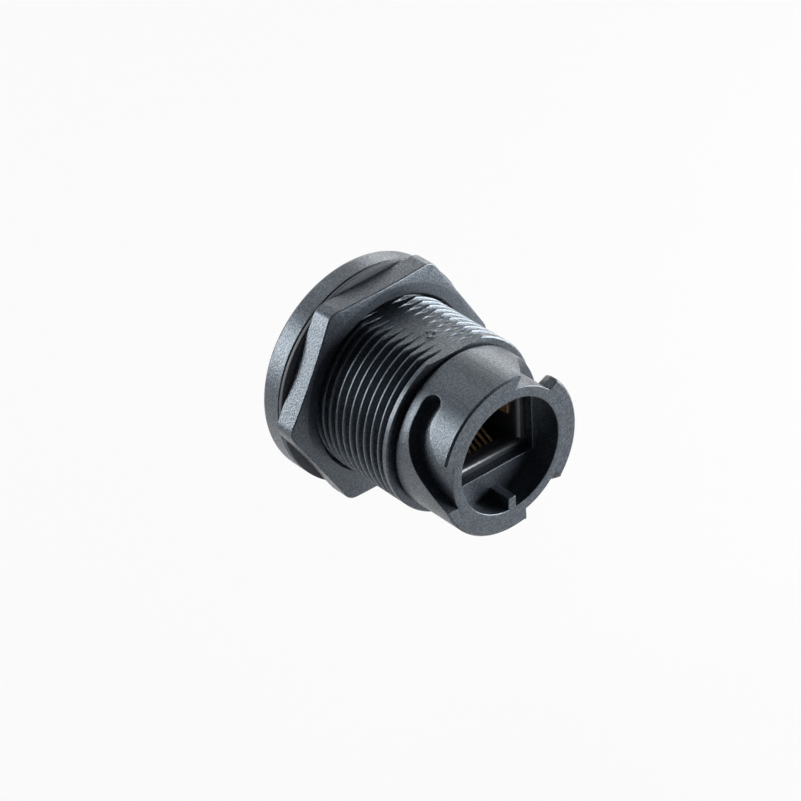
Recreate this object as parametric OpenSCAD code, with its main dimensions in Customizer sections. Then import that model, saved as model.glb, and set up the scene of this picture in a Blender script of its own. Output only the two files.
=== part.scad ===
// Ethernet panel mount coupler: a threaded plastic body with a bayonet nose, a rubber gasket and
// a hex nut that clamp it in a panel, and two modular jacks back to back on a small circuit board.
// Lengths are in millimetres. Each piece is drawn along +Z, with the flange's panel side at zero
// and the nose upwards, and is then laid down so that the nose points to -Y and the key is below.

/* [Flange and gasket] */
// Diameter of the flange and of the gasket
flange_d = 34.2; // [34:0.1:40]
// Thickness of the flange
flange_t = 3.7; // [3.4:0.1:5]
// Rounding of the flange's outer edge
flange_round = 0.8; // [0.4:0.1:1.4]
// Thickness of the gasket
gasket_t = 0.7; // [0.5:0.1:2]
// Gap between the gasket's hole and the thread
gasket_gap = 0.25; // [0.15:0.05:0.5]

/* [Hex nut] */
// Size of the nut across its flats
nut_af = 32; // [31:0.5:36]
// Thickness of the nut
nut_t = 3.7; // [2.4:0.1:4]
// Rounding of the nut's corners
nut_corner_r = 2.2; // [1:0.1:3]
// Diameter of the flat ring on the nut's front
nut_face_d = 30.8; // [29:0.2:31]
// Slope of the nut's front outside that ring, in degrees
nut_slope = 8; // [4:1:15]
// Direction of one flat of the nut, in degrees
nut_turn = 32; // [0:0.1:60]
// Radial gap between the nut and the thread
nut_gap = 0.1; // [0.05:0.05:0.3]
// Chamfer at the ends of the nut's bore
nut_lead = 0.35; // [0.2:0.05:0.6]
// Gap between the nut and the gasket
nut_rest = 0.1; // [0.05:0.05:0.5]

/* [Threaded barrel] */
// Diameter over the thread
thread_d = 26.7; // [26.2:0.1:27]
// Pitch of the thread
thread_pitch = 1.5; // [1.25:0.25:2]
// Depth of the thread
thread_depth = 0.92; // [0.6:0.02:1]
// Size across the two flats along the barrel
barrel_af = 24.76; // [24.6:0.02:26]
// Length of the barrel from the flange to its front
barrel_len = 18.95; // [17:0.05:21]
// Length of the plain collar at the barrel's front
collar_len = 1.15; // [1:0.05:2.4]
// Chamfer of the collar
collar_chamfer = 0.45; // [0.2:0.05:0.6]

/* [Nose] */
// Diameter of the nose
nose_d = 24.5; // [24.2:0.1:25]
// Length of the nose from the barrel's front
nose_len = 10.45; // [10:0.05:12]
// Chamfer of the nose's front edge
nose_chamfer = 0.3; // [0.1:0.05:0.5]
// Width of the groove at the root of the nose
groove_w = 0.6; // [0.4:0.1:1]
// Depth of the groove at the root of the nose
groove_depth = 0.85; // [0.4:0.05:1.2]
// Diameter of the bore
bore_d = 17.7; // [17.6:0.1:18.2]
// Depth of the open mouth
mouth_depth = 3.8; // [3:0.1:5]
// Thickness of the web behind the mouth
web_t = 1.5; // [1:0.1:2]
// Width of the window in the web
window_w = 14.8; // [13:0.2:15.2]
// Reach of the window below the axis
window_low = 4.2; // [3.6:0.1:4.6]
// Reach of the window above the axis
window_high = 6.9; // [6.4:0.1:7.4]
// Width of the key rib in the mouth
key_w = 1.4; // [1:0.1:2]
// Height of the key rib
key_h = 1.85; // [1.2:0.05:2.4]

/* [Bayonet tracks] */
// Width of each notch in the nose's front, in degrees
notch_angle = 36; // [32:1:40]
// Diameter of the tracks' floor
track_floor_d = 21; // [20:0.2:21.4]
// Depth of the tracks behind the nose's front
track_depth = 8.1; // [7.6:0.1:8.4]
// Width of the tracks
track_w = 3; // [2.4:0.1:3.2]
// Slope of the ramps, in degrees
ramp_angle = 51; // [47:1:54]
// Radius that leads the rear ramp into the track
rear_blend_r = 9.5; // [7:0.5:10]
// Radius that leads the front ramp into the track
front_blend_r = 4.6; // [3:0.2:5.4]
// Thickness of the ears between the notches
ear_t = 1.4; // [1:0.1:1.8]
// Short straight side of each notch
notch_step = 0.1; // [0.1:0.1:0.6]
// Lean of the notches' sides, in degrees round the axis from the nose's outside to the tracks' floor
notch_lean = 4; // [0:0.5:6]
// Turn from the notch's middle to the middle of the track's end, in degrees
track_turn = 48.5; // [46:0.5:52]

/* [Modular jacks] */
// Width of a jack's body
jack_w = 14.6; // [13.8:0.1:15]
// Reach of a jack's body below the axis
jack_low = 6.3; // [6.1:0.1:7]
// Reach of a jack's body above the axis
jack_high = 7; // [6.8:0.1:7.4]
// Radial gap between a jack's corners and the bore
jack_gap = 0.15; // [0.1:0.05:0.25]
// Width of the plug opening
port_w = 11.8; // [11.6:0.1:12.2]
// Reach of the plug opening below the axis
port_low = 2.78; // [2.6:0.02:3]
// Height of the plug opening
port_h = 6.7; // [6.5:0.1:6.9]
// Rounding of the plug opening's front edges
port_round = 0.8; // [0.4:0.1:1]
// Width of the latch channel
latch_w = 6.4; // [6:0.1:6.8]
// Height of the latch channel over the opening
latch_h = 1.2; // [1:0.1:1.4]
// Width of the latch channel's upper step
latch_step_w = 3.6; // [3:0.1:4]
// Height of the latch channel's upper step
latch_step_h = 0.8; // [0.5:0.1:0.9]
// Thickness of a jack's floor under the contacts
jack_floor = 1; // [0.8:0.1:1.2]
// Thickness of a jack's back wall
back_wall = 1.1; // [0.8:0.1:1.6]

/* [Contacts] */
// Spacing of the contacts
contact_pitch = 1.016; // [1:0.004:1.02]
// Width of a contact
contact_w = 0.45; // [0.35:0.05:0.5]
// Thickness of a contact
contact_t = 0.35; // [0.25:0.05:0.4]
// Distance from a jack's face to the contacts' bends
contact_lead = 2.3; // [2:0.1:3]
// Room in front of the contacts' bends
contact_room = 0.2; // [0.1:0.05:0.4]
// Radius of a contact's bend
contact_bend = 0.42; // [0.36:0.02:0.5]
// Slope of the contacts, in degrees
contact_angle = 29; // [25:1:32]
// Length of a contact's sloping leg
contact_leg = 7.4; // [6.4:0.1:8]
// Width of the contact carrier
carrier_w = 8.9; // [8.7:0.1:9.3]
// Thickness of the contact carrier
carrier_t = 0.95; // [0.7:0.05:0.95]
// Height of the carrier's ribs between the contacts
rib_h = 0.8; // [0.5:0.1:1]
// Thickness of the carrier's ribs
rib_t = 0.25; // [0.2:0.05:0.3]
// Thickness of a ground spring
spring_t = 0.2; // [0.15:0.05:0.25]
// Height of a ground spring
spring_h = 1.75; // [1.4:0.05:2]
// Distance from a jack's face to a ground spring's tip
spring_lead = 1.65; // [1.3:0.05:2.5]
// Distance by which a ground spring bows into the opening
spring_bow = 0.45; // [0.3:0.05:0.6]
// Height of a ground spring's lower edge over the axis
spring_low = 0.85; // [0.6:0.05:1.2]
// Distance from the opening's side to a ground spring's middle
spring_gap = 0.15; // [0.15:0.05:0.3]
// Straight length of a ground spring in front of the back wall
spring_root = 2.5; // [1.5:0.1:3.5]

/* [Circuit board and retainer] */
// Thickness of the circuit board
board_t = 1; // [0.8:0.1:1.6]
// Gap between the board and each jack
board_gap = 0.3; // [0.25:0.05:0.5]
// Diameter of the holes for the contacts
board_hole_d = 0.8; // [0.75:0.05:0.85]
// Diameter of the retainer plate
plate_d = 25.6; // [24:0.2:27]
// Thickness of the retainer plate
plate_t = 1.4; // [1:0.1:1.8]
// Gap round the retainer plate
plate_gap = 0.1; // [0.05:0.05:0.2]
// Margin of the retainer's window round the plug opening
plate_margin = 0.5; // [0.3:0.1:0.8]

/* [Hidden] */
$fn = 96;
// Which piece is drawn
contact_count = 8;

// Overshoot of a cut past the surface it opens
cut = 1;
// Small gap between pieces that are seated on each other
seat = 0.05;

// Radii and stations along the body
flange_r = flange_d / 2;
crest_r = thread_d / 2;
root_r = crest_r - thread_depth;
nose_r = nose_d / 2;
bore_r = bore_d / 2;
floor_r = track_floor_d / 2;
plate_r = plate_d / 2;
nose_front = barrel_len + nose_len;
web_front = nose_front - mouth_depth;
web_back = web_front - web_t;
plate_outer = -flange_t + seat;
plate_inner = plate_outer + plate_t;

// Thread ridges
crest_flat = thread_pitch / 8;
flank = thread_depth * tan(30);
thread_start = gasket_t;
thread_stop = barrel_len - collar_len;
ridge_count = floor((thread_stop - thread_start) / thread_pitch);

// Nut
nut_back = gasket_t + nut_rest;
nut_front = nut_back + nut_t;
nut_bore_r = crest_r + nut_gap;
nut_corner = (nut_af / 2 - nut_corner_r) / cos(30);
nut_far = nut_corner + nut_corner_r + cut;

// Bayonet tracks, in millimetres round the nose
arc_mm = nose_r * PI / 180;
notch_half = notch_angle / 2;
track_r = track_w / 2;
track_mid = track_depth - track_r;
track_in = floor_r - cut;
track_out = nose_r + cut;
ear_start = notch_half + 0.05;
notch_steps = 12;
ramp_steps = 10;
end_steps = 6;
end_stop = 84;

// Core: the two jacks with the board between them
core_r = bore_r - jack_gap;
core_front = web_back - seat;
core_back = plate_inner + seat;
core_mid = (core_front + core_back) / 2;
jack_len = (core_front - core_back - board_t) / 2 - board_gap;
socket_depth = jack_len - back_wall;
port_top = port_h - port_low;

// Contacts, measured from a jack's face
trough_floor = -jack_low + jack_floor;
trough_front = contact_lead - contact_room;
run_floor = trough_floor + carrier_t + 2 * seat;
run_mid = run_floor + contact_t / 2;
bend_y = run_mid + contact_bend;
bend_z = -contact_lead - contact_bend - contact_t / 2;
bend_turn = 90 - contact_angle;
tail_z = -jack_len - board_gap - board_t - board_gap / 2;

// Ground springs, measured from a jack's face
spring_wall = port_w / 2 - spring_gap;
spring_tail = -jack_len - board_gap + seat;
spring_knee = -socket_depth + spring_root;

// Lays a piece down with its nose towards -Y
module laid() {
    rotate([90, 0, 0]) children();
}

// Moves a jack's piece from its face at zero to the nose end
module at_front() {
    translate([0, 0, core_front]) children();
}

// Turns a jack's piece end for end to the flange end
module at_rear() {
    translate([0, 0, core_back]) rotate([180, 0, 0]) children();
}

// A box from its corner nearest to the lower left back to the opposite one
module span(low, high) {
    translate(low) cube(high - low);
}

// Half section of the flange with its outer edge rounded
module flange_section() {
    translate([0, -flange_t]) {
        square([flange_r - flange_round, flange_t]);
        translate([0, flange_round]) square([flange_r, flange_t - flange_round]);
        translate([flange_r - flange_round, flange_round]) circle(flange_round);
    }
}

// Half section of the barrel: level ridges for the thread, then the collar
module barrel_section() {
    ridges = [for (i = [0 : ridge_count - 1]) thread_stop - (i + 0.5) * thread_pitch];
    polygon(concat(
        [[0, 0], [0, barrel_len], [crest_r - collar_chamfer, barrel_len]],
        [[crest_r, barrel_len - collar_chamfer], [crest_r, thread_stop + flank], [root_r, thread_stop]],
        [for (z = ridges) each [
            [root_r, z + crest_flat / 2 + flank],
            [crest_r, z + crest_flat / 2],
            [crest_r, z - crest_flat / 2],
            [root_r, z - crest_flat / 2 - flank]
        ]],
        [[root_r, 0]]
    ));
}

// Half section of the nose with the groove at its root
module nose_section() {
    groove_front = barrel_len + groove_w;
    polygon([
        [0, barrel_len - seat],
        [nose_r - groove_depth, barrel_len - seat],
        [nose_r - groove_depth, groove_front],
        [nose_r, groove_front],
        [nose_r, nose_front - nose_chamfer],
        [nose_r - nose_chamfer, nose_front],
        [0, nose_front]
    ]);
}

// Depth of a ramp that starts at a depth, is blended with a radius and ends level
function ramp_depth(u, start, finish, blend) =
    let (turn_in = finish - blend * (1 - cos(ramp_angle)))
    let (u_in = (turn_in - start) / tan(ramp_angle))
    let (u_end = u_in + blend * sin(ramp_angle))
    u < u_in ? start + u * tan(ramp_angle)
    : u < u_end ? finish - blend + sqrt(pow(blend, 2) - pow(u_end - u, 2))
    : finish;

// Depths of a track's rear and front walls at an angle from its notch's middle
function rear_wall(a) = ramp_depth((notch_half - a) * arc_mm, notch_step, track_depth, rear_blend_r);
function front_wall(a) = ramp_depth((-notch_half - a) * arc_mm, ear_t, track_depth - track_w, front_blend_r);

// Angle and wall depths at each station of a track, from its notch to its round end
track_stations = concat(
    [for (i = [0 : notch_steps]) let (a = notch_half - notch_angle * i / notch_steps)
        [a, rear_wall(a), -cut]],
    [for (i = [0 : ramp_steps - 1]) let (a = -ear_start - (track_turn - ear_start) * i / ramp_steps)
        [a, rear_wall(a), front_wall(a)]],
    [for (i = [0 : end_steps]) let (t = end_stop * i / end_steps) let (half = track_r * cos(t))
        [-track_turn - track_r * sin(t) / arc_mm, track_mid + half, track_mid - half]]
);

// Angle by which a station's walls are turned at a radius: fully at the notch, not at all at the round end
function lean(a, r) = notch_lean * (nose_r - r) / (nose_r - floor_r)
    * max(a + track_turn, 0) / (notch_half + track_turn);

// Point on a station's rear wall (1) or front wall (2) at a radius
function wall_point(r, s, wall) = let (a = s[0] + lean(s[0], r)) [r * cos(a), r * sin(a), -s[wall]];

// One bayonet track with its notch, wrapped round the nose down to its floor
module bayonet_track() {
    last = len(track_stations) - 1;
    points = [for (s = track_stations) each [
        wall_point(track_in, s, 1),
        wall_point(track_out, s, 1),
        wall_point(track_out, s, 2),
        wall_point(track_in, s, 2)
    ]];
    sides = [for (i = [0 : last - 1]) for (j = [0 : 3])
        let (a = 4 * i + j, b = 4 * i + (j + 1) % 4) each [[a, b + 4, b], [a, a + 4, b + 4]]];
    tail = 4 * last;
    ends = [[0, 1, 2], [0, 2, 3], [tail + 2, tail + 1, tail], [tail + 3, tail + 2, tail]];
    difference() {
        polyhedron(points, concat(sides, ends), convexity = 6);
        translate([0, 0, -nose_len]) cylinder(r = floor_r, h = nose_len + 2 * cut);
    }
}

// Body: flange, threaded barrel with two flats, and nose with three bayonet tracks, window and key
module housing() color("#383b41") laid() {
    difference() {
        rotate_extrude() {
            flange_section();
            barrel_section();
            nose_section();
        }
        for (side = [0, 180]) rotate(side)
            span([-flange_r, barrel_af / 2, 0], [flange_r, flange_r, barrel_len]);
        for (turn = [60, 180, 300]) translate([0, 0, nose_front]) rotate(turn) bayonet_track();
        translate([0, 0, web_front]) cylinder(r = bore_r, h = mouth_depth + cut);
        intersection() {
            translate([0, 0, web_back - cut]) cylinder(r = bore_r, h = web_t + 2 * cut);
            span([-window_w / 2, -window_low, web_back - cut], [window_w / 2, window_high, web_front + cut]);
        }
        translate([0, 0, -flange_t - cut]) cylinder(r = bore_r, h = web_back + flange_t + cut);
        translate([0, 0, -flange_t - cut])
            cylinder(r = plate_r + plate_gap, h = plate_inner + flange_t + cut);
    }
    span([-key_w / 2, -bore_r - cut, web_front - web_t / 2], [key_w / 2, -bore_r + key_h, nose_front]);
}

// Gasket under the flange
module panel_gasket() color("#4a443f") laid() {
    difference() {
        translate([0, 0, seat]) cylinder(r = flange_r, h = gasket_t - seat);
        translate([0, 0, -cut]) cylinder(r = crest_r + gasket_gap, h = gasket_t + 2 * cut);
    }
}

// Outline of the nut with its corners rounded
module nut_outline() {
    corners = [for (i = [0 : 5]) nut_turn + 30 + 60 * i];
    polygon([for (a = corners) each [
        nut_corner * [cos(a), sin(a)] + nut_corner_r * [cos(a - 30), sin(a - 30)],
        nut_corner * [cos(a), sin(a)] + nut_corner_r * [cos(a + 30), sin(a + 30)]
    ]]);
    for (a = corners) translate(nut_corner * [cos(a), sin(a)]) circle(nut_corner_r);
}

// Nut that clamps the panel against the gasket
module hex_nut() color("#3b3e44") laid() {
    difference() {
        intersection() {
            translate([0, 0, nut_back]) linear_extrude(nut_t) nut_outline();
            rotate_extrude() polygon([
                [0, nut_back],
                [nut_far, nut_back],
                [nut_far, nut_front - (nut_far - nut_face_d / 2) * tan(nut_slope)],
                [nut_face_d / 2, nut_front],
                [0, nut_front]
            ]);
        }
        rotate_extrude() polygon([
            [0, nut_back - cut],
            [nut_bore_r + nut_lead + cut, nut_back - cut],
            [nut_bore_r, nut_back + nut_lead],
            [nut_bore_r, nut_front - nut_lead],
            [nut_bore_r + nut_lead + cut, nut_front + cut],
            [0, nut_front + cut]
        ]);
    }
}

// Cut that rounds a front edge running along +X, with the opening on its +Y side
module edge_round(length) {
    translate([-length / 2, 0, 0]) difference() {
        span([0, -port_round, -port_round], [length, cut, cut]);
        translate([-cut, -port_round, -port_round]) rotate([0, 90, 0])
            cylinder(r = port_round, h = length + 2 * cut);
        span([-cut, -port_round - cut, -port_round - cut], [length + cut, -port_round, cut]);
    }
}

// Body of a jack: plug opening with a latch channel above, a trough for the contacts below
module jack() {
    half = port_w / 2;
    difference() {
        intersection() {
            translate([0, 0, -jack_len]) cylinder(r = core_r, h = jack_len);
            span([-jack_w / 2, -jack_low, -jack_len], [jack_w / 2, jack_high, 0]);
        }
        span([-half, -port_low, -socket_depth], [half, port_top, cut]);
        span([-latch_w / 2, port_top - cut, -socket_depth], [latch_w / 2, port_top + latch_h, cut]);
        span(
            [-latch_step_w / 2, port_top - cut, -socket_depth],
            [latch_step_w / 2, port_top + latch_h + latch_step_h, cut]
        );
        translate([0, -port_low, 0]) edge_round(port_w);
        for (side = [-1, 1]) translate([side * half, port_h / 2 - port_low, 0])
            rotate(side * 90) edge_round(port_h);
        span(
            [-carrier_w / 2 - seat, trough_floor, -jack_len - cut],
            [carrier_w / 2 + seat, -port_low + cut, -trough_front]
        );
        for (side = [-1, 1]) translate([side * spring_wall, spring_low + spring_h / 2, -jack_len])
            cube([4 * spring_t, spring_h + spring_t, 2 * back_wall + 2 * cut], center = true);
    }
}

// Carrier that spaces the contacts: a plate with a rib on each side of every contact
module contact_carrier() {
    base = trough_floor + seat;
    ends = [-jack_len + seat, -trough_front - seat];
    span([-carrier_w / 2, base, ends[0]], [carrier_w / 2, base + carrier_t, ends[1]]);
    for (i = [0 : contact_count]) translate([(i - contact_count / 2) * contact_pitch, 0, 0])
        span([-rib_t / 2, base, ends[0]], [rib_t / 2, base + carrier_t + rib_h, ends[1] - rib_h]);
}

// Side view of a contact: tail and lower run, front bend, and the leg that slopes back up
module contact_section() {
    translate([tail_z, run_floor]) square([bend_z - tail_z, contact_t]);
    translate([bend_z, bend_y]) {
        intersection() {
            difference() {
                circle(contact_bend + contact_t / 2);
                circle(contact_bend - contact_t / 2);
            }
            polygon([[0, 0], [0, -cut], [cut, -cut], [cut, cut * tan(bend_turn)]]);
        }
        rotate(bend_turn) translate([contact_bend - contact_t / 2, 0]) square([contact_t, contact_leg]);
    }
}

// One contact of a jack, counted from the left
module contact(i) {
    translate([(i - (contact_count + 1) / 2) * contact_pitch + contact_w / 2, 0, 0])
        rotate([0, -90, 0]) linear_extrude(contact_w) contact_section();
}

// Strip of even thickness through a list of points
module strip(points, t) {
    for (i = [1 : len(points) - 1]) {
        run = points[i] - points[i - 1];
        translate(points[i - 1]) rotate(atan2(run[1], run[0])) translate([0, -t / 2]) square([norm(run), t]);
        if (i < len(points) - 1) translate(points[i]) circle(d = t);
    }
}

// Ground spring on the right wall of a jack's opening, bowed inwards
module ground_spring() {
    translate([0, spring_low + spring_h, 0]) rotate([90, 0, 0]) linear_extrude(spring_h) strip([
        [spring_wall, spring_tail],
        [spring_wall, spring_knee],
        [spring_wall - spring_bow, (spring_knee - spring_lead) / 2],
        [spring_wall + seat, -spring_lead]
    ], spring_t);
}

// Small board that joins the two jacks
module circuit_board() color("#2c5a3c") laid() {
    edge = core_r - seat;
    translate([0, 0, core_mid - board_t / 2]) difference() {
        intersection() {
            cylinder(r = edge, h = board_t);
            span([-jack_w / 2, -jack_low, 0], [jack_w / 2, jack_low, board_t]);
        }
        for (i = [1 : contact_count]) for (side = [-1, 1])
            translate([(i - (contact_count + 1) / 2) * contact_pitch, side * run_mid, -cut])
                cylinder(d = board_hole_d, h = board_t + 2 * cut);
    }
}

// Plate that closes the flange end round the rear plug opening
module retainer_plate() color("#33363c") laid() {
    half = port_w / 2 + plate_margin;
    low = -port_top - latch_h - latch_step_h - plate_margin;
    difference() {
        translate([0, 0, plate_outer]) cylinder(r = plate_r, h = plate_t);
        span([-half, low, plate_outer - cut],
            [half, port_low + port_round + plate_margin, plate_inner + cut]);
    }
}

module front_jack() color("#26282c") laid() at_front() jack();
module rear_jack() color("#26282c") laid() at_rear() jack();
module front_contact_carrier() color("#202225") laid() at_front() contact_carrier();
module rear_contact_carrier() color("#202225") laid() at_rear() contact_carrier();
module front_contact(i) color("#c9a14a") laid() at_front() contact(i);
module rear_contact(i) color("#c9a14a") laid() at_rear() contact(i);
module front_ground_spring_left() color("#b59a62") laid() at_front() mirror([1, 0, 0]) ground_spring();
module front_ground_spring_right() color("#b59a62") laid() at_front() ground_spring();
module rear_ground_spring_left() color("#b59a62") laid() at_rear() mirror([1, 0, 0]) ground_spring();
module rear_ground_spring_right() color("#b59a62") laid() at_rear() ground_spring();

housing();
panel_gasket();
hex_nut();
front_jack();
rear_jack();
front_contact_carrier();
rear_contact_carrier();
circuit_board();
retainer_plate();
for (i = [1 : contact_count]) front_contact(i);
for (i = [1 : contact_count]) rear_contact(i);
front_ground_spring_left();
front_ground_spring_right();
rear_ground_spring_left();
rear_ground_spring_right();
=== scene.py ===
import bmesh
import bpy
import math
from mathutils import Matrix, Vector
from mathutils.geometry import delaunay_2d_cdt


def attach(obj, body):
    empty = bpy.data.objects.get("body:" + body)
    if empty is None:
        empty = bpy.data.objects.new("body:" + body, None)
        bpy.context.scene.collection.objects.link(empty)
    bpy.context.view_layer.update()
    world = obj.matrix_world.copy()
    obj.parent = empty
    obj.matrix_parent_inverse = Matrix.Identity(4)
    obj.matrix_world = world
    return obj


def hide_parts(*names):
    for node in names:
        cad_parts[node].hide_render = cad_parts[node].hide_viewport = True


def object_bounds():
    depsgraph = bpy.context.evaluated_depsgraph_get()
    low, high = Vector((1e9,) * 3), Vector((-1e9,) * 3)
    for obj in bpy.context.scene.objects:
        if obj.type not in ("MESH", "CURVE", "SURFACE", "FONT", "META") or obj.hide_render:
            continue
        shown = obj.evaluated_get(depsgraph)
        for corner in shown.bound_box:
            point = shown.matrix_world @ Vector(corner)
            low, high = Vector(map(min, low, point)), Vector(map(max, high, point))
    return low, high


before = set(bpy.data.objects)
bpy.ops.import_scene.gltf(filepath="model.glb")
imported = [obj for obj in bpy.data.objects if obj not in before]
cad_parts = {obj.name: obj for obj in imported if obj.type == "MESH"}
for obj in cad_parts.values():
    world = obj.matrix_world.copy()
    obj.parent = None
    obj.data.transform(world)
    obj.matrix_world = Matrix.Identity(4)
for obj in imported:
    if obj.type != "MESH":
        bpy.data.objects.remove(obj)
cadBox = [list(corner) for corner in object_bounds()]
mm = 0.001
scene = bpy.context.scene
print("frame loaded:", len(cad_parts), "nodes")


# Shader maths

class Wire:
    def __init__(self, tree, socket):
        self.tree = tree
        self.socket = socket

    def maths(self, operation, first, second):
        return addNode(self.tree, "ShaderNodeMath", {"operation": operation}, {0: first, 1: second})

    def __add__(self, other):
        return self.maths("ADD", self, other)

    def __radd__(self, other):
        return self.maths("ADD", other, self)

    def __sub__(self, other):
        return self.maths("SUBTRACT", self, other)

    def __rsub__(self, other):
        return self.maths("SUBTRACT", other, self)

    def __mul__(self, other):
        return self.maths("MULTIPLY", self, other)

    def __rmul__(self, other):
        return self.maths("MULTIPLY", other, self)


# Adds one node: settings first, then the values or links of its inputs; gives back one output
def addNode(tree, kind, settings=None, inputs=None, output=0):
    node = tree.nodes.new(kind)
    for name, value in (settings or {}).items():
        setattr(node, name, value)
    for name, value in (inputs or {}).items():
        if isinstance(value, Wire):
            tree.links.new(value.socket, node.inputs[name])
        else:
            node.inputs[name].default_value = value
    return Wire(tree, node.outputs[output]) if node.outputs else None


def newMaterial(name):
    material = bpy.data.materials.new(name)
    material.use_nodes = True
    tree = material.node_tree
    tree.nodes.clear()
    return material, tree


def closeMaterial(tree, inputs):
    shader = addNode(tree, "ShaderNodeBsdfPrincipled", None, inputs)
    addNode(tree, "ShaderNodeOutputMaterial", None, {"Surface": shader})


def objectPlace(tree):
    return addNode(tree, "ShaderNodeTexCoord", output="Object")


def noise(tree, place, scale, detail, rough=0.5):
    return addNode(tree, "ShaderNodeTexNoise", None,
                   {"Vector": place, "Scale": scale, "Detail": detail, "Roughness": rough})


# A value taken from its span to the range from 0 to top, and held at the ends
def ramped(tree, value, span, top=1.0, shape="LINEAR"):
    return addNode(tree, "ShaderNodeMapRange", {"interpolation_type": shape},
                   {"Value": value, "From Min": span[0], "From Max": span[1], "To Max": top})


# Colours are wires or plain triples; a Mix node takes them at sockets 6 and 7 and gives output 2
def mixColour(tree, factor, first, second):
    pair = [colour if isinstance(colour, Wire) else (*colour, 1) for colour in (first, second)]
    return addNode(tree, "ShaderNodeMix", {"data_type": "RGBA"}, {0: factor, 6: pair[0], 7: pair[1]}, 2)


noiseMean = 0.5

# Moulded plastic: fine speckle in colour and gloss over a soft eroded texture
mould = {"grainDetail": 3.0, "grainRough": 0.6, "grainShare": 0.65, "cloudDetail": 2.0, "cloudShare": 0.35,
         "toneSpan": (0.35, 0.65), "glintSpan": (0.47, 0.58), "speckLift": 0.3, "ior": 1.5}


def mouldedPlastic(name, look):
    material, tree = newMaterial(name)
    place = objectPlace(tree)
    grain = noise(tree, place, look["grainScale"], mould["grainDetail"], mould["grainRough"])
    cloud = noise(tree, place, look["cloudScale"], mould["cloudDetail"])
    speck = addNode(tree, "ShaderNodeTexVoronoi", {"feature": "F1"},
                    {"Vector": place, "Scale": look["speckScale"], "Randomness": 1.0})
    specks = ramped(tree, speck, (look["speckSize"], 0.0), 1.0, "SMOOTHSTEP")
    tones = ramped(tree, grain * mould["grainShare"] + cloud * mould["cloudShare"], mould["toneSpan"])
    base = mixColour(tree, tones, look["dark"], look["light"])
    colour = mixColour(tree, specks * look["speckStrength"], base, look["speck"])
    rough = look["rough"] + (grain - noiseMean) * look["roughSwing"]
    glint = ramped(tree, grain, mould["glintSpan"], look["glint"])
    height = grain + speck * mould["speckLift"]
    bump = addNode(tree, "ShaderNodeBump", None,
                   {"Strength": look["bump"], "Distance": look["bumpDepth"], "Height": height})
    closeMaterial(tree, {"Base Color": colour, "Roughness": rough, "Normal": bump,
                         "Coat Weight": glint, "Coat Roughness": look["rough"], "IOR": mould["ior"],
                         "Specular IOR Level": look["specular"], "Specular Tint": (*look["tint"], 1)})
    return material


# Rubber: dull, with a little dust
def dullRubber(name, look):
    material, tree = newMaterial(name)
    grain = noise(tree, objectPlace(tree), look["grainScale"], look["grainDetail"], look["grainRough"])
    dust = ramped(tree, grain, look["dustSpan"], 1.0, "SMOOTHSTEP")
    colour = mixColour(tree, dust * look["dustStrength"], look["base"], look["dust"])
    bump = addNode(tree, "ShaderNodeBump", None,
                   {"Strength": look["bump"], "Distance": look["bumpDepth"], "Height": grain})
    closeMaterial(tree, {"Base Color": colour, "Normal": bump, "Specular IOR Level": look["specular"],
                         "Roughness": look["rough"] + (grain - noiseMean) * look["roughSwing"]})
    return material


# Plated metal: a little smear in its gloss and a slow change of tone
def platedMetal(name, look):
    material, tree = newMaterial(name)
    smear = noise(tree, objectPlace(tree), look["smearScale"], look["smearDetail"])
    colour = mixColour(tree, smear, look["deep"], look["bright"])
    closeMaterial(tree, {"Base Color": colour, "Metallic": 1.0,
                         "Roughness": look["rough"] + (smear - noiseMean) * look["roughSwing"]})
    return material


# Board: green lacquer with paler fibre under it
def boardLaminate(name, look):
    material, tree = newMaterial(name)
    fibres = addNode(tree, "ShaderNodeTexWave", {"bands_direction": "X"},
                     {"Vector": objectPlace(tree), "Scale": look["fibreScale"],
                      "Distortion": look["fibreBend"]})
    colour = mixColour(tree, fibres * look["fibreShare"], look["lacquer"], look["fibre"])
    closeMaterial(tree, {"Base Color": colour, "Roughness": look["rough"] + fibres * look["roughSwing"]})
    return material


# The outside is textured, with a slightly paler nut; the parts inside are nearly smooth
housingLook = {
    "dark": (0.01, 0.012, 0.016), "light": (0.022, 0.026, 0.035), "speck": (0.1, 0.11, 0.135),
    "grainScale": 4000, "cloudScale": 160, "speckScale": 3600, "speckSize": 0.32, "speckStrength": 0.35,
    "rough": 0.34, "roughSwing": 0.3, "bump": 1.0, "bumpDepth": 0.00004, "glint": 1.0,
    "specular": 0.95, "tint": (0.68, 0.84, 1.0)}
nutLook = {
    **housingLook, "dark": (0.011, 0.013, 0.018), "light": (0.024, 0.028, 0.037),
    "grainScale": 3800, "cloudScale": 140, "speckScale": 3400}
jackLook = {
    "dark": (0.02, 0.022, 0.026), "light": (0.03, 0.033, 0.039), "speck": (0.06, 0.065, 0.075),
    "grainScale": 3000, "cloudScale": 200, "speckScale": 3600, "speckSize": 0.25, "speckStrength": 0.2,
    "rough": 0.32, "roughSwing": 0.12, "bump": 0.25, "bumpDepth": 0.00002, "glint": 0.4,
    "specular": 0.8, "tint": (0.85, 0.93, 1.0)}
carrierLook = {
    **jackLook, "dark": (0.008, 0.008, 0.009), "light": (0.013, 0.013, 0.014), "speck": (0.03, 0.03, 0.03),
    "speckSize": 0.2, "speckStrength": 0.15, "rough": 0.5, "roughSwing": 0.1, "bump": 0.2, "glint": 0.0,
    "specular": 0.4, "tint": (1.0, 1.0, 1.0)}
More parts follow.
